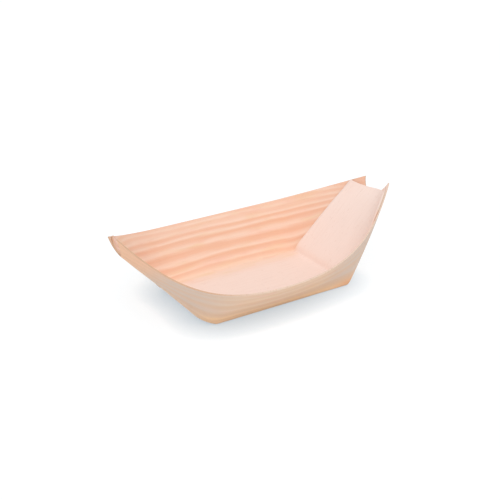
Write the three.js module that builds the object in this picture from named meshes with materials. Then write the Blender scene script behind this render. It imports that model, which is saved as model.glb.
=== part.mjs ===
// A boat dish: one thin pine veneer blank, scored, slit at both ends, folded up and glued.
// Millimetres, +Z up. X runs along the dish, +Y points to the back wall, the base lies on z = 0.
import * as THREE from 'three';
import { ParametricGeometry } from 'three/addons/geometries/ParametricGeometry.js';

// Rim
const LENGTH = 169.3; // from tip to tip of the front wall
const RIM_BREADTH = 100.5; // across the rim at the middle of the dish
const RIM_HEIGHT = 23; // rim above the table at the middle
const TIP_HEIGHT = 46.4; // back wall's rim above the table at the tips
const FRONT_TWIST = 2.7; // front wall's left tip above the back wall's, and its right tip below it
const TIP_GAP = 11.9; // between the two rims at the tips
const BACK_TIP_INSET = 3.3; // how far the back wall's tips stop short of the front wall's
const FULLNESS_SHIFT = 20; // how far left of the middle the front wall is fullest
const PLAN_TUCK = 0.58; // share of the rim's turn inward that comes late, near the tips
const RISE_TUCK = 0.6; // share of the rim's rise that comes late, near the tips

// Base and ramps
const BASE_LENGTH = 81.7;
const BASE_WIDTH = 53.3;
const LEFT_BEND = 13; // radius of the bend from the base into the left ramp, which curls up slowly
const RIGHT_BEND = 4; // radius of the bend from the base into the right ramp, which is creased
const TIP_DEPTH = 4.9; // depth of the trough between the ramp and the back wall's rim at the tips
const CORNER_SHARE = 0.45; // where the trough's side starts at the tips, as a share of its half breadth
const ROUNDING_RATE = 1.75; // how soon the sharp fold at the base opens into a full curve

// Veneer, folds and laps
const VENEER = 0.8;
const FOLD_GAP = 0.3; // clearance along a scored fold or a slit
const GLUE_FILM = 0.3;
const SEAT_GAP = 0.2; // clearance on each face of a glue film
const LIFT_RUN = 5; // length over which an end flap rises off the walls' tails
const FLAP_INSET = 3.1; // how far an end flap stops short of the tips
const FLAP_BOW = 3.7; // how far the flap's end bows out beyond its corners
const FLAP_SKEW = 1.2; // how far one end corner runs ahead of the bow and the other one behind it
const FLAP_END_WIDTH = 38.2; // across the flap between its end corners, along its curve
const FLAP_CORNER_DROP = 0.8; // least depth of the flap's end corners below the rim
const TAIL_PARTING = 4; // between the lower edges of a dish end's two tails, at the tips
const TAIL_SWEEP = 0.8; // below 1, the tails' lower edges close in early
const TAIL_RAKE = 3; // how far a tail's end edge slopes back from its tip
const GLUE_START = 12; // glue film's start, out from the base
const GLUE_STOP = 4; // glue film's end, short of the flap's corner
const GLUE_MARGIN = 0.8; // bare strip along both long edges of a lap

// Facets
const TAIL_STEPS = 16;
const MIDDLE_STEPS = 12;
const WALL_STEPS = 8;
const FLAP_STEPS = 18;
const FLAP_WIDTH_STEPS = 20;
const GLUE_STEPS = 8;
const GLUE_WIDTH_STEPS = 3;

// Worked out from the sizes above
const BACK = 1;
const FRONT = -1;
const LEFT = -1;
const RIGHT = 1;
const REACH = LENGTH / 2;
const BASE_END = BASE_LENGTH / 2;
const FOLD_Y = BASE_WIDTH / 2;
const FLAP_TIP = REACH - FLAP_INSET;
const FLAP_CORNER = FLAP_TIP - FLAP_BOW;
const LAP_GAP = GLUE_FILM + 2 * SEAT_GAP;
const RAMP_RUN = REACH - BASE_END;

const { clamp, lerp, smoothstep } = THREE.MathUtils;

// Height of the ramp's middle line: flat base, round bend, then a straight climb
function keelHeight(x) {
  const out = Math.max(0, Math.abs(x) - BASE_END);
  const bend = x < 0 ? LEFT_BEND : RIGHT_BEND;
  const rise = TIP_HEIGHT - TIP_DEPTH - bend;
  const climb = Math.atan2(rise, RAMP_RUN) + Math.asin(bend / Math.hypot(RAMP_RUN, rise));
  const bendRun = bend * Math.sin(climb);
  if (out < bendRun) return bend - Math.sqrt(bend ** 2 - out ** 2);
  return bend * (1 - Math.cos(climb)) + (out - bendRun) * Math.tan(climb);
}

// Rim of one wall: it turns inward and rises toward the tips
function rimPoint(x, side) {
  const shift = side === FRONT ? FULLNESS_SHIFT * (1 - (x / REACH) ** 2) : 0;
  const s = ((x + shift) / REACH) ** 2;
  const turn = lerp(s, s * s, PLAN_TUCK);
  const rise = lerp(s, s * s, RISE_TUCK);
  const y = side * lerp(RIM_BREADTH / 2, TIP_GAP / 2, turn);
  const twist = side === FRONT ? (FRONT_TWIST * x) / REACH : 0;
  return new THREE.Vector2(y, lerp(RIM_HEIGHT, TIP_HEIGHT, rise) - twist);
}

// Outer half section at x, from the middle line to the rim, as (y, z)
function halfSection(x, side) {
  const ease = clamp((Math.abs(x) - BASE_END) / RAMP_RUN, 0, 1);
  const rim = rimPoint(x, side);
  const middle = new THREE.Vector2(0, keelHeight(x));
  const corner = new THREE.Vector2(lerp(side * FOLD_Y, CORNER_SHARE * rim.x, ease), middle.y);
  const path = new THREE.Path().moveTo(middle.x, middle.y);
  const round = Math.min(1, ROUNDING_RATE * ease);
  if (round > 0) {
    const from = corner.clone().lerp(middle, round);
    const to = corner.clone().lerp(rim, round);
    path.lineTo(from.x, from.y).quadraticCurveTo(corner.x, corner.y, to.x, to.y);
  } else {
    path.lineTo(corner.x, corner.y);
  }
  return path.lineTo(rim.x, rim.y);
}

// Point on the outer surface at a depth below the rim, measured along the section
function hullPoint(x, side, depth, target) {
  const path = halfSection(x, side);
  const point = path.getPoint(1 - depth / path.getLength());
  target.set(x, point.x, point.y);
}

function tipX(side) {
  return side === BACK ? REACH - BACK_TIP_INSET : REACH;
}

// Depth of the fold below the rim, at x between the base's ends
function foldDepth(x, side) {
  const rim = rimPoint(x, side);
  return Math.hypot(side * rim.x - FOLD_Y, rim.y);
}

// Depth of an end flap's long edge below the rim; the flap narrows evenly from the base to its corners
function flapEdgeDepth(x, side) {
  const share = (Math.abs(x) - BASE_END) / (FLAP_CORNER - BASE_END);
  const halfWidth = lerp(FOLD_Y - VENEER - FOLD_GAP, FLAP_END_WIDTH / 2, share);
  return Math.max(FLAP_CORNER_DROP, halfSection(x, side).getLength() - halfWidth);
}

// Depth of a wall's lower edge below the rim: along the fold, then beside the flap, then under it
function wallDepth(x, side) {
  const out = Math.abs(x) - BASE_END;
  if (out <= 0) return foldDepth(x, side);
  const beside = flapEdgeDepth(x, side) - VENEER - FOLD_GAP;
  const sweep = Math.min(1, out / (tipX(side) - BASE_END)) ** TAIL_SWEEP;
  const under = halfSection(x, side).getLength() - lerp(FOLD_Y, TAIL_PARTING / 2, sweep);
  return lerp(beside, under, smoothstep(out, LIFT_RUN, 2 * LIFT_RUN));
}

// Height of the mitre that a closed score leaves on a wall's inner face
function foldMitre(x, side) {
  if (Math.abs(x) > BASE_END) return 0;
  const rim = rimPoint(x, side);
  const flare = Math.atan2(side * rim.x - FOLD_Y, rim.y);
  return VENEER * Math.tan(Math.PI / 4 - flare / 2);
}

// How far an end flap's outer face lies inside the walls' outer surface
function flapLift(x) {
  return (VENEER + LAP_GAP) * smoothstep(Math.abs(x) - BASE_END, 0, LIFT_RUN);
}

// Grid of points over a surface, moved along its normal; offset gets the point on the surface
function sheet(surface, columns, rows, inward, offset) {
  const { position, normal } = new ParametricGeometry(surface, columns, rows).attributes;
  const points = [];
  for (let i = 0; i < position.count; i += 1) {
    const point = new THREE.Vector3().fromBufferAttribute(position, i);
    const along = new THREE.Vector3().fromBufferAttribute(normal, i);
    points.push(point.clone().addScaledVector(along, inward * offset(point)));
  }
  return points;
}

// Closed plate between an outer and an inner grid of the same size
function plateGeometry(outer, inner, columns, rows, inward) {
  const stride = columns + 1;
  const count = stride * (rows + 1);
  const index = [];
  const quad = (a, b, c, d) => {
    if (inward > 0) index.push(a, d, b, b, d, c);
    else index.push(a, b, d, b, c, d);
  };
  for (let row = 0; row < rows; row += 1) {
    for (let column = 0; column < columns; column += 1) {
      const a = row * stride + column;
      quad(a, a + 1, a + stride + 1, a + stride);
      quad(a + count + 1, a + count, a + count + stride, a + count + stride + 1);
    }
  }
  for (let column = 0; column < columns; column += 1) {
    const top = rows * stride + column;
    quad(column + 1, column, column + count, column + count + 1);
    quad(top, top + 1, top + count + 1, top + count);
  }
  for (let row = 0; row < rows; row += 1) {
    const low = row * stride;
    const high = low + columns;
    quad(low, low + stride, low + stride + count, low + count);
    quad(high + stride, high, high + count, high + stride + count);
  }
  const geometry = new THREE.BufferGeometry().setFromPoints([...outer, ...inner]);
  geometry.setIndex(index);
  geometry.computeVertexNormals();
  return geometry;
}

// Long wall with its two tails, from the fold to the rim
function wallGeometry(side) {
  const columns = 2 * TAIL_STEPS + MIDDLE_STEPS;
  const stationX = (u, v) => {
    const step = u * columns - TAIL_STEPS;
    const tailEnd = tipX(side) - TAIL_RAKE * (1 - v);
    if (step < 0) return lerp(-BASE_END, -tailEnd, -step / TAIL_STEPS);
    if (step <= MIDDLE_STEPS) return lerp(-BASE_END, BASE_END, step / MIDDLE_STEPS);
    return lerp(BASE_END, tailEnd, (step - MIDDLE_STEPS) / TAIL_STEPS);
  };
  const outerFace = (u, v, target) => {
    const x = stationX(u, v);
    hullPoint(x, side, wallDepth(x, side) * (1 - v), target);
  };
  const innerFace = (u, v, target) => {
    const x = stationX(u, v);
    hullPoint(x, side, (wallDepth(x, side) - foldMitre(x, side)) * (1 - v), target);
  };
  const outer = sheet(outerFace, columns, WALL_STEPS, side, () => 0);
  const inner = sheet(innerFace, columns, WALL_STEPS, side, () => VENEER);
  return plateGeometry(outer, inner, columns, WALL_STEPS, side);
}

// End flap: flat at the base, then bent up and curled inside the walls' tails
function flapGeometry(end) {
  const face = (u, v, target) => {
    const across = 2 * v - 1;
    const side = across < 0 ? FRONT : BACK;
    const stop = FLAP_TIP - FLAP_BOW * across ** 2 - end * FLAP_SKEW * across;
    const x = end * lerp(BASE_END + FOLD_GAP, stop, u);
    const length = halfSection(x, side).getLength();
    const halfWidth = length - flapEdgeDepth(x, side);
    hullPoint(x, side, length - Math.abs(across) * halfWidth, target);
  };
  const outer = sheet(face, FLAP_STEPS, FLAP_WIDTH_STEPS, end, (point) => flapLift(point.x));
  const inner = sheet(face, FLAP_STEPS, FLAP_WIDTH_STEPS, end, (point) => flapLift(point.x) + VENEER);
  return plateGeometry(outer, inner, FLAP_STEPS, FLAP_WIDTH_STEPS, end);
}

// Glue film in the lap between a wall's tail and an end flap
function glueGeometry(end, side) {
  const face = (u, v, target) => {
    const x = end * lerp(BASE_END + GLUE_START, FLAP_CORNER - GLUE_STOP, u);
    const low = wallDepth(x, side) - GLUE_MARGIN;
    const high = flapEdgeDepth(x, side) + GLUE_MARGIN;
    hullPoint(x, side, lerp(low, high, v), target);
  };
  const inward = end * side;
  const outer = sheet(face, GLUE_STEPS, GLUE_WIDTH_STEPS, inward, () => VENEER + SEAT_GAP);
  const inner = sheet(face, GLUE_STEPS, GLUE_WIDTH_STEPS, inward, () => VENEER + SEAT_GAP + GLUE_FILM);
  return plateGeometry(outer, inner, GLUE_STEPS, GLUE_WIDTH_STEPS, inward);
}

// Flat base with its long edges mitred to the folds
function baseGeometry() {
  const corners = [LEFT, RIGHT].flatMap((end) => [[end, BACK], [end, FRONT]]);
  const mitre = Math.max(...corners.map(([end, side]) => foldMitre(end * BASE_END, side)));
  const low = FOLD_Y - (FOLD_GAP * Math.hypot(VENEER, mitre)) / VENEER;
  const high = low - mitre;
  const profile = new THREE.Shape().moveTo(-low, 0).lineTo(low, 0).lineTo(high, VENEER).lineTo(-high, VENEER);
  const geometry = new THREE.ExtrudeGeometry(profile, { depth: BASE_LENGTH, bevelEnabled: false });
  geometry.translate(0, 0, -BASE_END);
  const along = new THREE.Matrix4().makeBasis(
    new THREE.Vector3(0, 1, 0),
    new THREE.Vector3(0, 0, 1),
    new THREE.Vector3(1, 0, 0),
  );
  return geometry.applyMatrix4(along);
}

function addPiece(group, name, geometry, color, roughness) {
  const material = new THREE.MeshStandardMaterial({ color, roughness, metalness: 0 });
  const mesh = new THREE.Mesh(geometry, material);
  mesh.name = name;
  group.add(mesh);
}

const PALE_HEART = '#f6dccf';
const STRIPED_PINE = '#edc09c';
const SHADED_PINE = '#d3b596';
const DRIED_GLUE = '#d9c9a6';

const dish = new THREE.Group();
addPiece(dish, 'base_panel', baseGeometry(), PALE_HEART, 0.7);
addPiece(dish, 'back_wall', wallGeometry(BACK), STRIPED_PINE, 0.7);
addPiece(dish, 'front_wall', wallGeometry(FRONT), SHADED_PINE, 0.7);
for (const [end, name] of [[LEFT, 'left'], [RIGHT, 'right']]) {
  addPiece(dish, `${name}_end_flap`, flapGeometry(end), PALE_HEART, 0.7);
  addPiece(dish, `${name}_back_glue`, glueGeometry(end, BACK), DRIED_GLUE, 0.5);
  addPiece(dish, `${name}_front_glue`, glueGeometry(end, FRONT), DRIED_GLUE, 0.5);
}

export default dish;
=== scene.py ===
"""Dresses the boat dish: five pieces of one pine blank, four glue films and a white stage."""

import math

import bmesh
import bpy
from bpy.props import FloatProperty, FloatVectorProperty, PointerProperty
from bpy.types import Operator, Panel, PropertyGroup
from mathutils import Matrix, Vector


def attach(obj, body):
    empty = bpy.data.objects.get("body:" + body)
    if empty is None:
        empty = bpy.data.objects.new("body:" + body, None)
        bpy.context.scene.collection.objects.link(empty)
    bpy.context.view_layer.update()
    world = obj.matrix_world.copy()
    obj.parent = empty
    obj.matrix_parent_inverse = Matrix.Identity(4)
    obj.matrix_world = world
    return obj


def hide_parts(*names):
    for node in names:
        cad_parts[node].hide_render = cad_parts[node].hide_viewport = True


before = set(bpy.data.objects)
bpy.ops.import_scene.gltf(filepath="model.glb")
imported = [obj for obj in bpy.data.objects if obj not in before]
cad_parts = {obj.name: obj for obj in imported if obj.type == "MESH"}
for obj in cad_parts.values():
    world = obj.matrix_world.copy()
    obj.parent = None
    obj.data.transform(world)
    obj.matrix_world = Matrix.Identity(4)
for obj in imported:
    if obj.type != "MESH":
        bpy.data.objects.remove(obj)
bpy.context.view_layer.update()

bl_info = {
    "name": "Boat Dish",
    "version": (1, 0, 0),
    "blender": (4, 5, 0),
    "location": "View3D > Sidebar > Boat Dish",
    "description": "Builds a boat dish of folded pine veneer on a plain white stage",
    "category": "Add Mesh",
}

MM = 0.001
BACK = 1
FRONT = -1
LEFT = -1
RIGHT = 1
BLANK_SPAN = 0.24  # length that one unit of the Blank UV map stands for
SECTION_STEPS = 16  # stretches that the curve of a section is drawn in
SLIT_ROOT = 1.0 * MM  # length over which a slit opens beyond the base
TUCK_START = 0.5  # where a tail starts to run under its flap, in lift runs beyond the base
TUCK_END = 1.4  # where it lies fully under the flap
PRESSED_EDGE = 0.8 * MM  # strip along a flap's long edges that is pressed down
PRESSED_END = 3 * MM  # how far short of a flap's corners its end starts to be pressed down
CUT_EDGE_ANGLE = math.radians(50)  # edges sharper than this are rounded
RING_SLANT = 0.009  # how far the rings drift outward along the blank, per length
RING_BEND = 0.006  # how fast they bend outward towards the ends
RING_CROWDING = 0.006  # how fast they crowd towards the rim
RING_WANDER = 0.9  # how far they wander, in rings
FLOOR_REACH = 6.0  # half the floor's side
FLOOR_DROP = 0.2 * MM  # floor below the dish, so that the two don't flicker
LAMP_AIM = (0.22, 0.5, -0.82)  # the way that the lamp's light goes
WHITE = (1.0, 1.0, 1.0)
BLACK = (0.0, 0.0, 0.0)


def linear(code):
    """Scene colour of a screen colour written as six hex digits."""
    parts = [int(code[i : i + 2], 16) / 255 for i in (0, 2, 4)]
    return tuple(c / 12.92 if c <= 0.04045 else ((c + 0.055) / 1.055) ** 2.4 for c in parts)


def size(name, description, millimetres):
    """A length property, given in millimetres."""
    return FloatProperty(
        name=name,
        description=description,
        default=millimetres * MM,
        precision=5,
        subtype="DISTANCE",
        unit="LENGTH",
    )


def share(name, description, default):
    """A plain number that shapes a curve or a level."""
    return FloatProperty(name=name, description=description, default=default, min=0.0)


def colour(name, description, code):
    """A colour property, given as it looks on screen."""
    return FloatVectorProperty(
        name=name,
        description=description,
        default=linear(code),
        min=0.0,
        max=1.0,
        size=3,
        subtype="COLOR",
    )


def angle(name, description, degrees):
    """An angle property, given in degrees."""
    return FloatProperty(
        name=name,
        description=description,
        default=math.radians(degrees),
        subtype="ANGLE",
    )


class DishForm(PropertyGroup):
    """Sizes of the folded dish."""

    length: size("Length", "From tip to tip of the front wall", 169.3)
    rim_breadth: size("Rim breadth", "Across the rim at the middle of the dish", 100.5)
    rim_height: size("Rim height", "Rim above the table at the middle", 23.0)
    tip_height: size("Tip height", "Back wall's rim above the table at the tips", 46.4)
    front_twist: size("Front twist", "Front wall's left tip above the back one's, right below", 2.7)
    tip_gap: size("Tip gap", "Between the two rims at the tips", 11.9)
    back_tip_inset: size("Back tip inset", "Back wall's tips short of the front wall's", 3.3)
    fullness_shift: size("Fullness shift", "Front wall's fullest place left of the middle", 20.0)
    plan_tuck: share("Plan tuck", "Share of the rim's turn inward that comes late", 0.58)
    rise_tuck: share("Rise tuck", "Share of the rim's rise that comes late", 0.6)
    base_length: size("Base length", "Flat base along the dish", 81.7)
    base_width: size("Base width", "Flat base between the folds", 53.3)
    left_bend: size("Left bend", "Radius of the bend from the base into the left ramp", 13.0)
    right_bend: size("Right bend", "Radius of the bend from the base into the right ramp", 4.0)
    tip_depth: size("Tip depth", "Depth of the trough at the tips", 4.9)
    corner_share: share("Corner share", "Trough's corner at the tips, on the way to the rim", 0.45)
    rounding_rate: share("Rounding rate", "How soon the fold opens into a full curve", 1.75)
    fold_round: share("Fold rounding", "Rounding of the folds, as a share of each side", 0.035)
    veneer: size("Veneer", "Thickness of the veneer", 0.8)
    lap_gap: size("Lap gap", "Room for the glue between a tail and a flap", 0.7)
    lap_press: size("Lap press", "How far a flap's free edges are pressed into that room", 0.65)
    lift_run: size("Lift run", "Length over which a flap rises off the tails", 5.0)
    slit: size("Slit", "Width of the cut between a flap and a wall", 0.05)
    flap_inset: size("Flap inset", "How far a flap stops short of the tips", 3.1)
    flap_bow: size("Flap bow", "How far a flap's end bows out beyond its corners", 3.7)
    flap_skew: size("Flap skew", "How far one end corner runs ahead of the other", 1.2)
    flap_end_width: size("Flap end width", "Across a flap between its end corners", 38.2)
    flap_corner_drop: size("Flap corner drop", "Least depth of a flap's edges below the rim", 0.35)
    flap_front_spare: size("Flap front spare", "Extra width of the right flap at the front", 8.0)
    tail_parting: size("Tail parting", "Between an end's two tails below, at the tips", 4.0)
    tail_sweep: share("Tail sweep", "Below 1, the tails' lower edges close in early", 0.8)
    tail_rake: size("Tail rake", "How far a tail's end edge slopes back from its tip", 3.0)
    edge_round: size("Edge rounding", "Rounding of the cut edges", 0.06)


class VeneerLook(PropertyGroup):
    """Colours and grain of the pine, with some light and shade painted into them."""

    inner_heart: colour("Inner heart", "Flat-cut middle of the blank, inside the dish", "fae1d5")
    inner_ends: colour("Inner ends", "Flat-cut ends of the blank, inside the dish", "fce6dc")
    inner_early: colour("Inner early wood", "Pale part of a ring, inside the dish", "fad8c3")
    inner_late: colour("Inner late wood", "Dark part of a ring, inside the dish", "f2bc9d")
    inner_pitch: size("Inner ring pitch", "Distance between growth rings inside the dish", 6.0)
    inner_contrast: share("Inner contrast", "Strength of the growth rings inside the dish", 1.0)
    # Painted light: a warm band along the folds stands in for light bounced in them and shining
    # through the veneer.
    inner_painted_fold_light: share("Inner resin", "Amount of resin along the folds, inside the dish", 0.1)
    # Painted light at the left tips, inside the dish.
    inner_painted_tip_light: share("Inner glow", "Amount of peach at the left tips, inside the dish", 0.0)
    # Painted light: the front wall's inner face turns paler towards its tips, where it lies in
    # shade.
    inner_far: colour("Inner far wood", "Far ends of the front wall, inside the dish", "fce6dc")
    inner_painted_shading_left: size("Inner far left", "Start of the far wood on the left, inside", 90.0)
    inner_painted_shading_right: size("Inner far right", "Start of the far wood on the right, inside", 52.0)
    outer_heart: colour("Outer heart", "Flat-cut middle of the blank, outside the dish", "eed3c0")
    outer_ends: colour("Outer ends", "Flat-cut ends of the blank, outside the dish", "f0d6c5")
    outer_early: colour("Outer early wood", "Pale part of a ring, outside the dish", "f1d5be")
    outer_late: colour("Outer late wood", "Dark part of a ring, outside the dish", "e4bf9f")
    outer_pitch: size("Outer ring pitch", "Distance between growth rings outside the dish", 8.6)
    outer_contrast: share("Outer contrast", "Strength of the growth rings outside the dish", 0.6)
    # Painted light: a warm band along the folds outside the dish stands in for bounced light and
    # light shining through the veneer.
    outer_painted_fold_light: share("Outer resin", "Amount of resin along the folds, outside the dish", 0.55)
    # Painted light: the outer face at the left tips turns peach where it faces the light.
    outer_painted_tip_light: share("Outer glow", "Amount of peach at the left tips, outside the dish", 0.85)
    # Painted shade: the front wall's outer face turns greyer and darker towards its ends, most on
    # the right half, which faces away from the lamp.
    outer_far: colour("Outer far wood", "Far ends of the front wall, outside the dish", "decbbe")
    outer_painted_shading_left: size("Outer far left", "Start of the far wood on the left, outside", 32.0)
    outer_painted_shading_right: size("Outer far right", "Start of the far wood on the right, outside", 8.0)
    # Painted light: colour of the lit outer face at the left tips.
    peach: colour("Peach", "Glow of the left tips", "fdc9a6")
    straw: colour("Straw", "Yellowish patches", "f3cfa9")
    blush: colour("Blush", "Pinkish patches", "f8c3b1")
    # Painted light: colour of the warm light bounced in the folds and shining through the veneer.
    painted_fold_light_amber: colour("Amber", "Resinous stretch along the folds", "ffd8ae")
    # Painted light and shade: deep orange of the warm fold light at the right, and of the shade on
    # the left flap's end.
    painted_light_and_shade_orange: colour("Ember", "Deep orange at the right folds and on the left flap's end", "e69c69")
    fibre: colour("Fibre", "Fine dark fibres and pores", "cf9f88")
    front_edge: colour("Front edge", "Cut edges towards the front", "ecd2bf")
    # Painted shade: cut edges at the back and at the left end are darker, where they lie in shadow.
    shaded_back_edge: colour("Back edge", "Cut edges towards the back and at the left end", "d9b294")
    glue: colour("Glue", "Dried glue in the laps", "d9c9a6")
    pale_glue: colour("Pale glue", "Thin places in the dried glue", "e6dabd")
    first_ring: size("First ring", "Distance of the ring at the fold from the blank's middle", 29.2)
    roughness: share("Roughness", "Roughness of bare veneer", 0.66)


class StudioSetup(PropertyGroup):
    """Camera, light and floor."""

    azimuth: angle("Azimuth", "Camera's turn towards the left end", 32.53)
    elevation: angle("Elevation", "Camera's height angle", 24.45)
    distance: size("Distance", "From the camera to the dish's origin along the view", 544.61)
    lens: share("Lens", "Focal length in millimetres", 72.0)
    offset_right: size("Offset right", "Origin right of the view's centre", 4.04)
    offset_down: size("Offset down", "Origin below the view's centre", 18.99)
    sky: share("Sky", "Level of the even light from all round", 0.68)
    lamp: share("Lamp", "Strength of the broad lamp", 1.03)
    lamp_spread: angle("Lamp spread", "Breadth of the lamp", 60.0)
    floor: colour("Floor", "Plain floor", "faf9f7")
    floor_seen: colour("Floor as seen", "Light on the floor that the camera sees", "8f969b")
    floor_white: share("Floor white", "Plain white in the floor that the camera sees", 0.77)
    floor_shade: colour("Floor shade", "Floor where the dish covers it", "bccad4")
    shade_reach: size("Shade reach", "How far the dish shades the floor round it", 14.0)


def mix(a, b, t):
    """Straight blend of two numbers."""
    return a + (b - a) * t


def smooth(x, low, high):
    """Smooth step from 0 at low to 1 at high."""
    t = min(1.0, max(0.0, (x - low) / (high - low)))
    return t * t * (3.0 - 2.0 * t)


class Hull:
    """Outer surface of the folded dish, in the row frame."""

    def __init__(self, form):
        self.form = form
        self.reach = form.length / 2
        self.base_end = form.base_length / 2
        self.fold_y = form.base_width / 2
        self.run = self.reach - self.base_end
        self.slit_y = self.fold_y * (1 - form.fold_round)
        self.flap_tip = self.reach - form.flap_inset
        self.flap_corner = self.flap_tip - form.flap_bow

    def bend(self, x):
        """Radius of the bend into the ramp at this end, and the angle that the ramp climbs at."""
        radius = self.form.left_bend if x < 0 else self.form.right_bend
        rise = self.form.tip_height - self.form.tip_depth - radius
        climb = math.atan2(rise, self.run) + math.asin(radius / math.hypot(self.run, rise))
        return radius, climb

    def keel_height(self, x):
        """Height of the middle line: flat base, round bend, straight climb."""
        radius, climb = self.bend(x)
        out = max(0.0, abs(x) - self.base_end)
        bend_run = radius * math.sin(climb)
        if out < bend_run:
            return radius - math.sqrt(radius * radius - out * out)
        return radius * (1 - math.cos(climb)) + (out - bend_run) * math.tan(climb)

    def ramp_length(self, x):
        """Length along the middle line from the dish's middle to x."""
        radius, climb = self.bend(x)
        out = max(0.0, abs(x) - self.base_end)
        bend_run = radius * math.sin(climb)
        curved = radius * math.asin(min(out, bend_run) / radius)
        return min(abs(x), self.base_end) + curved + max(0.0, out - bend_run) / math.cos(climb)

    def rim_point(self, x, side):
        """The rim of one wall at x, as (y, z)."""
        form = self.form
        shift = form.fullness_shift * (1 - (x / self.reach) ** 2) if side == FRONT else 0.0
        twist = form.front_twist * x / self.reach if side == FRONT else 0.0
        s = ((x + shift) / self.reach) ** 2
        y = mix(form.rim_breadth / 2, form.tip_gap / 2, mix(s, s * s, form.plan_tuck))
        z = mix(form.rim_height, form.tip_height, mix(s, s * s, form.rise_tuck))
        return Vector((side * y, z - twist))

    def half_section(self, x, side):
        """Points of the section from the middle line to the rim, and how far along it each lies."""
        form = self.form
        ease = min(1.0, max(0.0, (abs(x) - self.base_end) / self.run))
        rim = self.rim_point(x, side)
        middle = Vector((0.0, self.keel_height(x)))
        corner = Vector((mix(side * self.fold_y, form.corner_share * rim.x, ease), middle.y))
        rounding = min(1.0, max(form.fold_round, form.rounding_rate * ease))
        start = corner.lerp(middle, rounding)
        stop = corner.lerp(rim, rounding)
        points = [middle]
        for i in range(SECTION_STEPS + 1):
            t = i / SECTION_STEPS
            points.append(start.lerp(corner, t).lerp(corner.lerp(stop, t), t))
        points.append(rim)
        marks = [0.0]
        for a, b in zip(points, points[1:]):
            marks.append(marks[-1] + (b - a).length)
        return points, marks

    def section_length(self, x, side):
        """Distance from the middle line to the rim along the section."""
        return self.half_section(x, side)[1][-1]

    def point(self, x, side, away):
        """The surface point at a distance from the middle line along the section."""
        points, marks = self.half_section(x, side)
        for i in range(1, len(marks)):
            if away <= marks[i] and marks[i] > marks[i - 1]:
                t = (away - marks[i - 1]) / (marks[i] - marks[i - 1])
                return Vector((x, *points[i - 1].lerp(points[i], t)))
        return Vector((x, *points[-1]))

    def tip_x(self, side):
        """Where a wall's tips stand."""
        return self.reach - self.form.back_tip_inset if side == BACK else self.reach

    def flap_half_width(self, x, side):
        """A flap's half width: it narrows evenly below the rim, and meets it at the right front."""
        form = self.form
        t = (abs(x) - self.base_end) / (self.flap_corner - self.base_end)
        end_width = form.flap_end_width / 2
        to_rim = self.section_length(x, side)
        if x > 0 and side == FRONT:
            return min(mix(self.slit_y, end_width + form.flap_front_spare, t), to_rim)
        return min(mix(self.slit_y, end_width, t), to_rim - form.flap_corner_drop)

    def wall_foot(self, x, side):
        """A wall's lower edge from the middle line: at the fold, beside the flap, then under it."""
        form = self.form
        out = abs(x) - self.base_end
        if out <= 0:
            return self.slit_y
        clear_of_flap = self.flap_half_width(x, side) + form.slit
        beside = mix(self.slit_y, clear_of_flap, smooth(out, 0.0, SLIT_ROOT))
        sweep = min(1.0, out / (self.tip_x(side) - self.base_end)) ** form.tail_sweep
        under = mix(self.fold_y, form.tail_parting / 2, sweep)
        tucked = smooth(out, TUCK_START * form.lift_run, TUCK_END * form.lift_run)
        return mix(beside, under, tucked)

    def flap_lift(self, x, from_edge):
        """How far a flap's outer face lies inside the hull; its free edges are pressed down."""
        form = self.form
        out = abs(x) - self.base_end
        edge = 1.0 - smooth(from_edge, 0.0, PRESSED_EDGE)
        end = smooth(abs(x), self.flap_corner - PRESSED_END, self.flap_tip)
        pressed = max(edge, end) * smooth(out, form.lift_run, 2 * form.lift_run)
        gap = form.lap_gap - form.lap_press * pressed
        return (form.veneer + gap) * smooth(out, 0.0, form.lift_run)


class Socket:
    """A node's output, so that shader maths is written as plain arithmetic."""

    def __init__(self, tree, output=None):
        self.tree = tree
        self.output = output

    def node(self, kind, settings=None, inputs=None, output=0):
        """Adds a node, sets it up, fills or links its sockets and gives one of its outputs."""
        made = self.tree.nodes.new(kind)
        for key, value in (settings or {}).items():
            setattr(made, key, value)
        for key, value in (inputs or {}).items():
            if isinstance(value, Socket):
                self.tree.links.new(value.output, made.inputs[key])
            else:
                made.inputs[key].default_value = value
        return Socket(self.tree, made.outputs[output])

    def math(self, operation, *values):
        """A Math node on these values."""
        return self.node("ShaderNodeMath", {"operation": operation}, dict(enumerate(values)))

    def __add__(self, other):
        return self.math("ADD", self, other)

    def __radd__(self, other):
        return self.math("ADD", other, self)

    def __sub__(self, other):
        return self.math("SUBTRACT", self, other)

    def __rsub__(self, other):
        return self.math("SUBTRACT", other, self)

    def __mul__(self, other):
        return self.math("MULTIPLY", self, other)

    def __rmul__(self, other):
        return self.math("MULTIPLY", other, self)

    def __truediv__(self, other):
        return self.math("DIVIDE", self, other)

    def __abs__(self):
        return self.math("ABSOLUTE", self)

    def above(self, low):
        """How far this value is above low, and 0 below it."""
        return self.math("MAXIMUM", self - low, 0.0)

    def step(self, low, high):
        """Smooth step from 0 at low to 1 at high."""
        ends = {"Value": self, "From Min": low, "From Max": high, "To Min": 0.0, "To Max": 1.0}
        return self.node("ShaderNodeMapRange", {"interpolation_type": "SMOOTHSTEP"}, ends)

    def blend(self, under, over):
        """Mix of two colours, with this value as the amount of the second."""
        shades = [shade if isinstance(shade, Socket) else (*shade, 1.0) for shade in (under, over)]
        sockets = {0: self, 6: shades[0], 7: shades[1]}  # factor, A and B of a colour mix
        return self.node("ShaderNodeMix", {"data_type": "RGBA"}, sockets, output=2)

    def feed(self, shader, name):
        """Links this value to a socket of the shader."""
        self.tree.links.new(self.output, shader.inputs[name])


def new_material(name):
    """A material, a first socket in its tree and its shader."""
    material = bpy.data.materials.new(name)
    material.use_nodes = True
    return material, Socket(material.node_tree), material.node_tree.nodes["Principled BSDF"]


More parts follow.
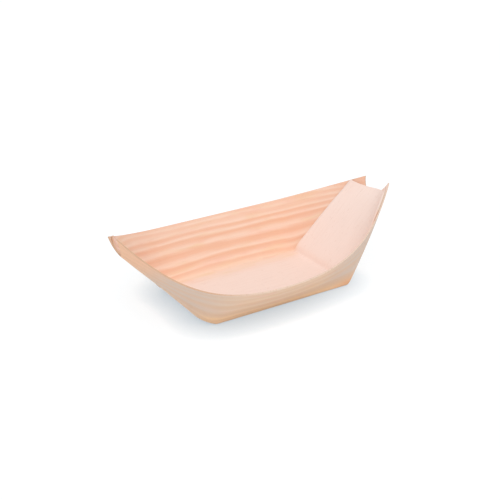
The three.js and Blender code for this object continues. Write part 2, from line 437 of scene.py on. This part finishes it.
def blank_place(start):
    """The place on the flat blank: along the grain and across it, in millimetres."""
    uv = start.node("ShaderNodeUVMap", {"uv_map": "Blank"})
    along = start.node("ShaderNodeSeparateXYZ", None, {0: uv}, output=0)
    across = start.node("ShaderNodeSeparateXYZ", None, {0: uv}, output=1)
    return (along - 0.5) * (BLANK_SPAN / MM), (across - 0.5) * (BLANK_SPAN / MM)


def grain(along, across, per_along, per_across, detail, seed):
    """Noise drawn out along the grain, with so many spots per millimetre each way."""
    spots = {0: along * per_along, 1: across * per_across, 2: seed}
    place = along.node("ShaderNodeCombineXYZ", None, spots)
    return place.node("ShaderNodeTexNoise", None, {"Vector": place, "Scale": 1.0, "Detail": detail})


def ring_shade(along, across, first, pitch):
    """Darkness of the growth rings: each darkens slowly away from the heart and ends at once.

    All lengths are in millimetres on the flat blank.
    """
    on_ends = abs(along).above(50.0)
    wander = grain(along, across, per_along=0.02, per_across=0.12, detail=2.0, seed=29.0) - 0.5
    out = abs(across) + along * RING_SLANT + on_ends * on_ends * RING_BEND
    near_rim = out.above(46.0)
    count = (out - first) / pitch + near_rim * near_rim * RING_CROWDING + wander * RING_WANDER
    phase = count.math("FRACT", count + 0.6)
    return phase.step(0.0, 0.56) * (1.0 - phase.step(0.66, 1.0))


def veneer_face(look, face):
    """The inner or the outer face of the sliced pine: plain heart, growth rings, fibres and pores,
    with light and shade painted in at the folds, the ends and the tips.

    Steps along and across give places on the flat blank, in millimetres from its middle.
    """
    name = f"Pine {face} face"
    if name in bpy.data.materials:
        return bpy.data.materials[name]

    def own(key):
        """This face's own setting."""
        return getattr(look, f"{face}_{key}")

    # How much painted warm light lies along the folds.
    painted_fold_light = own("painted_fold_light")
    # Where the painted light and shade on the front wall's ends starts.
    painted_shading_left = own("painted_shading_left") / MM
    painted_shading_right = own("painted_shading_right") / MM
    material, start, shader = new_material(name)
    along, across = blank_place(start)
    patches = grain(along, across, per_along=0.05, per_across=0.22, detail=2.0, seed=3.0)
    blushes = grain(along, across, per_along=0.06, per_across=0.20, detail=2.0, seed=19.0)
    streaks = grain(along, across, per_along=0.02, per_across=0.9, detail=2.0, seed=13.0)
    fibres = grain(along, across, per_along=0.06, per_across=2.4, detail=3.0, seed=7.0)
    specks = grain(along, across, per_along=0.30, per_across=2.1, detail=1.0, seed=11.0)
    pores = specks.step(0.68, 0.76)

    to_end = abs(along)
    to_left = 0.0 - along
    off = abs(across)
    flap_heart = to_end.step(36.0, 50.0) * 12.0
    striped = off.step(flap_heart + 13.0, 28.5)
    # Band along the folds that gets the painted warm light; more of that light widens it.
    below_fold = off.step(22.0, 27.5)
    above_fold = off.step(28.0 + 5.0 * painted_fold_light, 33.0 + 12.0 * painted_fold_light)
    fold_light_band = below_fold * (1.0 - above_fold) * (1.0 - to_end.step(46.0, 54.0))
    # Towards the right end the painted fold light deepens to deep orange.
    right_fold_light_band = fold_light_band * along.step(26.0, 44.0)
    # The front wall's ends, which get painted light inside and painted shade outside.
    front = (0.0 - across).step(28.0, 40.0)
    painted_shading_at_ends = to_left.step(painted_shading_left, painted_shading_left + 30.0) + along.step(painted_shading_right, painted_shading_right + 30.0)
    # Painted light: the left tips' outer face, which faces the light.
    lit_left_tips = to_left.step(67.0, 79.0) * striped
    # Painted shade: the left flap's far end, which lies in shadow, turns deep orange.
    shaded_left_flap_end = (patches * 16.0 - along).step(92.0, 104.0)
    # Painted shade: the back wall's right tip beyond the right flap, which lies in shadow.
    shaded_back_right_tip = across.step(28.0, 44.0) * along.step(66.0, 78.0)
    near_rim = off.step(49.0, 57.0)
    ring = ring_shade(along, across, look.first_ring / MM, own("pitch") / MM)
    ring = ring * off.step(26.0, 32.0)
    ring_strength = (streaks * 0.7 + 0.5) * (1.0 - near_rim * 0.5)

    wood = to_end.step(34.0, 52.0).blend(own("heart"), own("ends"))
    wood = striped.blend(wood, own("early"))
    wood = (striped * patches.step(0.45, 0.75) * 0.6).blend(wood, look.straw)
    wood = (striped * blushes.step(0.5, 0.75) * 0.5).blend(wood, look.blush)
    # Painted light and shade: the front wall's ends are paler inside, and greyer and darker
    # outside.
    wood = (front * painted_shading_at_ends).blend(wood, own("far"))
    # Painted light: peach on the lit left tips.
    wood = (lit_left_tips * own("painted_tip_light")).blend(wood, look.peach)
    # Painted light: warm light bounced in the folds and shining through the veneer.
    wood = (fold_light_band * (painted_fold_light * 1.5)).blend(wood, look.painted_fold_light_amber)
    # Painted light: the warm fold light turns deep orange at the right folds.
    wood = (right_fold_light_band * painted_fold_light).blend(wood, look.painted_light_and_shade_orange)
    # Painted shade: deep orange on the shaded end of the left flap.
    wood = (shaded_left_flap_end * 0.55).blend(wood, look.painted_light_and_shade_orange)
    wood = (ring * ring_strength * own("contrast")).blend(wood, own("late"))
    # Painted shade: a darker, more orange back wall's right tip.
    wood = (shaded_back_right_tip * 0.45).blend(wood, own("late"))
    wood = (fibres.step(0.5, 0.8) * 0.18).blend(wood, look.fibre)
    wood = (pores * (1.0 - striped * 0.6) * 0.4).blend(wood, look.fibre)
    wood.feed(shader, "Base Color")
    (fibres * 0.18 + (look.roughness - 0.09)).feed(shader, "Roughness")
    shader.inputs["Specular IOR Level"].default_value = 0.25
    height = fibres * 0.5 + streaks * 0.4 + ring * 0.5 - pores * 0.6
    relief = {"Strength": 0.25, "Distance": 0.12 * MM, "Height": height}
    height.node("ShaderNodeBump", None, relief).feed(shader, "Normal")
    return material


def cut_edge(look):
    """Cut edges of the veneer: short fibre ends, with painted shade that makes them darker at the
    back and at the left end.
    """
    name = "Pine cut edge"
    if name in bpy.data.materials:
        return bpy.data.materials[name]
    material, start, shader = new_material(name)
    along, across = blank_place(start)
    specks = grain(along, across, per_along=1.2, per_across=1.2, detail=2.0, seed=5.0)
    # Painted shade on the cut edges at the back and at the left end.
    darker = across.step(-12.0, 12.0) + (0.0 - along).step(28.0, 58.0)
    edge = darker.blend(look.front_edge, look.shaded_back_edge)
    (specks.step(0.45, 0.8) * 0.35).blend(edge, look.fibre).feed(shader, "Base Color")
    (specks * 0.2 + 0.65).feed(shader, "Roughness")
    shader.inputs["Specular IOR Level"].default_value = 0.2
    return material


def dried_glue(look):
    """Dried glue: cloudy, with a dull gloss."""
    material, start, shader = new_material("Dried glue")
    place = start.node("ShaderNodeTexCoord", output="Object")
    spots = {"Vector": place, "Scale": 420.0, "Detail": 3.0}
    clouds = place.node("ShaderNodeTexNoise", None, spots)
    clouds.step(0.35, 0.7).blend(look.glue, look.pale_glue).feed(shader, "Base Color")
    (clouds * 0.25 + 0.35).feed(shader, "Roughness")
    return material


def veneer_piece(context, name, node, surface, columns, rows, outward):
    """A sheet laid over a surface, thickened inward and given soft cut edges.

    surface(u, v) gives a point of the hull, its place along and across the blank, and how far
    inside the hull the sheet lies there. outward is roughly the way that its outer face looks.
    """
    form = context.scene.boat_dish_form
    look = context.scene.boat_dish_look
    bm = bmesh.new()
    blank = bm.loops.layers.uv.new("Blank")
    bmesh.ops.create_grid(bm, x_segments=columns, y_segments=rows, size=0.5)
    laid = {}
    for vert in bm.verts:
        vert.co, *laid[vert] = surface(vert.co.x + 0.5, vert.co.y + 0.5)
    bm.normal_update()
    if sum(face.normal.dot(outward) * face.calc_area() for face in bm.faces) < 0:
        bmesh.ops.reverse_faces(bm, faces=bm.faces[:])
        bm.normal_update()
    normals = {vert: vert.normal.copy() for vert in bm.verts}
    for vert, normal in normals.items():
        lift = laid[vert][2]
        vert.co -= normal * lift
    for face in bm.faces:
        face.smooth = True
        for loop in face.loops:
            along, across = laid[loop.vert][:2]
            loop[blank].uv = (along / BLANK_SPAN + 0.5, across / BLANK_SPAN + 0.5)
    mesh = bpy.data.meshes.new(name)
    bm.to_mesh(mesh)
    bm.free()
    mesh.materials.append(veneer_face(look, "outer"))
    mesh.materials.append(veneer_face(look, "inner"))
    mesh.materials.append(cut_edge(look))
    piece = bpy.data.objects.new(name, mesh)
    context.scene.collection.objects.link(piece)
    thick = piece.modifiers.new("Thickness", "SOLIDIFY")
    thick.thickness = form.veneer
    thick.offset = -1
    thick.use_even_offset = True
    thick.material_offset = 1
    thick.material_offset_rim = 2
    soft = piece.modifiers.new("Cut edges", "BEVEL")
    soft.width = form.edge_round
    soft.segments = 2
    soft.limit_method = "ANGLE"
    soft.angle_limit = CUT_EDGE_ANGLE
    soft.harden_normals = True
    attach(piece, "root")
    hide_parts(node)


class BOATDISH_OT_base(Operator):
    """Lays the flat middle of the blank"""

    bl_idname = "boat_dish.base"
    bl_label = "Base panel"

    def execute(self, context):
        hull = Hull(context.scene.boat_dish_form)

        def surface(u, v):
            x = mix(-hull.base_end, hull.base_end, u)
            y = mix(-hull.slit_y, hull.slit_y, v)
            return Vector((x, y, 0.0)), x, y, 0.0

        veneer_piece(
            context,
            "base_veneer",
            "base_panel",
            surface,
            columns=86,
            rows=58,
            outward=Vector((0, 0, -1)),
        )
        return {"FINISHED"}


class BOATDISH_OT_walls(Operator):
    """Folds up the two long walls with their tails"""

    bl_idname = "boat_dish.walls"
    bl_label = "Long walls"

    def execute(self, context):
        form = context.scene.boat_dish_form
        hull = Hull(form)
        rim_across = hull.section_length(0.0, BACK)
        for side, node in ((BACK, "back_wall"), (FRONT, "front_wall")):

            def surface(u, v, side=side):
                along = 2 * u - 1
                rake = form.tail_rake * (1 - v) * smooth(abs(along), 0.5, 1.0)
                x = along * (hull.tip_x(side) - rake)
                length = hull.section_length(x, side)
                away = mix(hull.wall_foot(x, side), length, v)
                return hull.point(x, side, away), x, side * (rim_across - (length - away)), 0.0

            veneer_piece(
                context,
                node + "_veneer",
                node,
                surface,
                columns=240,
                rows=48,
                outward=Vector((0, side, -0.6)),
            )
        return {"FINISHED"}


class BOATDISH_OT_end_flaps(Operator):
    """Bends up the two end flaps and curls them between the tails"""

    bl_idname = "boat_dish.end_flaps"
    bl_label = "End flaps"

    def execute(self, context):
        form = context.scene.boat_dish_form
        hull = Hull(form)
        for end, name in ((LEFT, "left"), (RIGHT, "right")):

            def surface(u, v, end=end):
                across = 2 * v - 1
                side = FRONT if across < 0 else BACK
                stop = hull.flap_tip - form.flap_bow * across**2 - end * form.flap_skew * across
                x = end * mix(hull.base_end, stop, u)
                half_width = hull.flap_half_width(x, side)
                away = abs(across) * half_width
                lift = hull.flap_lift(x, half_width - away)
                return hull.point(x, side, away), end * hull.ramp_length(x), side * away, lift

            veneer_piece(
                context,
                name + "_flap_veneer",
                name + "_end_flap",
                surface,
                columns=100,
                rows=120,
                outward=Vector((end, 0, -1)),
            )
        return {"FINISHED"}


class BOATDISH_OT_glue_films(Operator):
    """Gives the glue films in the laps their finish"""

    bl_idname = "boat_dish.glue_films"
    bl_label = "Glue films"

    def execute(self, context):
        material = dried_glue(context.scene.boat_dish_look)
        for end in ("left", "right"):
            for side in ("back", "front"):
                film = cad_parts[f"{end}_{side}_glue"]
                film.data.materials.clear()
                film.data.materials.append(material)
        return {"FINISHED"}


class BOATDISH_OT_stage(Operator):
    """Sets up the white floor, the soft light and the camera"""

    bl_idname = "boat_dish.stage"
    bl_label = "Stage"

    def execute(self, context):
        scene = context.scene
        studio = scene.boat_dish_studio
        self.lay_floor(scene, studio)
        self.light(scene, studio)
        self.aim_camera(scene, studio)
        scene.view_settings.view_transform = "Standard"
        return {"FINISHED"}

    def seen(self, start):
        """1 for what the camera sees, straight or in a reflection."""
        straight = start.node("ShaderNodeLightPath", output="Is Camera Ray")
        glossy = start.node("ShaderNodeLightPath", output="Is Glossy Ray")
        through = start.node("ShaderNodeLightPath", output="Is Transmission Ray")
        return straight.math("MINIMUM", straight + glossy + through, 1.0)

    def lay_floor(self, scene, studio):
        """A wide white floor that keeps the dish's shadow."""
        bm = bmesh.new()
        bmesh.ops.create_grid(bm, x_segments=4, y_segments=4, size=FLOOR_REACH)
        bmesh.ops.translate(bm, verts=bm.verts[:], vec=(0, 0, -FLOOR_DROP))
        mesh = bpy.data.meshes.new("floor")
        bm.to_mesh(mesh)
        bm.free()
        floor = bpy.data.objects.new("floor", mesh)
        scene.collection.objects.link(floor)
        material, start, shader = new_material("White floor")
        shader.inputs["Roughness"].default_value = 0.9
        shader.inputs["Specular IOR Level"].default_value = 0.0
        seen = self.seen(start)
        seen.blend(studio.floor, studio.floor_seen).feed(shader, "Base Color")
        reach = {"Distance": studio.shade_reach}
        open_sky = start.node("ShaderNodeAmbientOcclusion", {"samples": 16}, reach, output="AO")
        shade = open_sky.blend(studio.floor_shade, WHITE)
        shader.inputs["Emission Strength"].default_value = studio.floor_white
        seen.blend(BLACK, shade).feed(shader, "Emission Color")
        mesh.materials.append(material)

    def light(self, scene, studio):
        """Even light from all round, and one broad lamp from the left and the front."""
        world = bpy.data.worlds.new("Studio")
        scene.world = world
        world.use_nodes = True
        start = Socket(world.node_tree)
        sky = world.node_tree.nodes["Background"]
        sky.inputs["Color"].default_value = (*WHITE, 1.0)
        sky.inputs["Strength"].default_value = studio.sky
        white = start.node("ShaderNodeBackground", None, {"Color": (*WHITE, 1.0), "Strength": 1.0})
        lit = Socket(start.tree, sky.outputs[0])
        both = start.node("ShaderNodeMixShader", None, {0: self.seen(start), 1: lit, 2: white})
        both.feed(world.node_tree.nodes["World Output"], "Surface")
        lamp = bpy.data.lights.new("Broad lamp", "SUN")
        lamp.energy = studio.lamp
        lamp.angle = studio.lamp_spread
        holder = bpy.data.objects.new("Broad lamp", lamp)
        scene.collection.objects.link(holder)
        holder.rotation_euler = Vector(LAMP_AIM).to_track_quat("-Z", "Y").to_euler()

    def aim_camera(self, scene, studio):
        """The camera at the photograph's angle."""
        a = studio.azimuth
        e = studio.elevation
        ahead = Vector((math.sin(a) * math.cos(e), math.cos(a) * math.cos(e), -math.sin(e)))
        right = Vector((math.cos(a), -math.sin(a), 0.0))
        up = right.cross(ahead)
        eye = bpy.data.cameras.new("Camera")
        eye.lens = studio.lens
        eye.sensor_width = 36.0
        eye.clip_start = 0.01
        camera = bpy.data.objects.new("Camera", eye)
        scene.collection.objects.link(camera)
        place = -(right * studio.offset_right - up * studio.offset_down + ahead * studio.distance)
        turn = Matrix((right, up, -ahead)).transposed().to_4x4()
        camera.matrix_world = Matrix.Translation(place) @ turn
        scene.camera = camera


STEPS = (
    BOATDISH_OT_base,
    BOATDISH_OT_walls,
    BOATDISH_OT_end_flaps,
    BOATDISH_OT_glue_films,
    BOATDISH_OT_stage,
)


class BOATDISH_PT_sidebar(Panel):
    """Lists the dish's settings and steps."""

    bl_label = "Boat Dish"
    bl_space_type = "VIEW_3D"
    bl_region_type = "UI"
    bl_category = "Boat Dish"

    def draw(self, context):
        scene = context.scene
        for group in (scene.boat_dish_form, scene.boat_dish_look, scene.boat_dish_studio):
            box = self.layout.box()
            for key in type(group).__annotations__:
                box.prop(group, key)
        for step in STEPS:
            self.layout.operator(step.bl_idname)


CLASSES = (DishForm, VeneerLook, StudioSetup, *STEPS, BOATDISH_PT_sidebar)


def register():
    for cls in CLASSES:
        bpy.utils.register_class(cls)
    bpy.types.Scene.boat_dish_form = PointerProperty(type=DishForm)
    bpy.types.Scene.boat_dish_look = PointerProperty(type=VeneerLook)
    bpy.types.Scene.boat_dish_studio = PointerProperty(type=StudioSetup)


def unregister():
    del bpy.types.Scene.boat_dish_studio
    del bpy.types.Scene.boat_dish_look
    del bpy.types.Scene.boat_dish_form
    for cls in reversed(CLASSES):
        bpy.utils.unregister_class(cls)


def main():
    register()
    bpy.ops.boat_dish.base()
    bpy.ops.boat_dish.walls()
    bpy.ops.boat_dish.end_flaps()
    bpy.ops.boat_dish.glue_films()
    bpy.ops.boat_dish.stage()


if __name__ == "__main__":
    main()
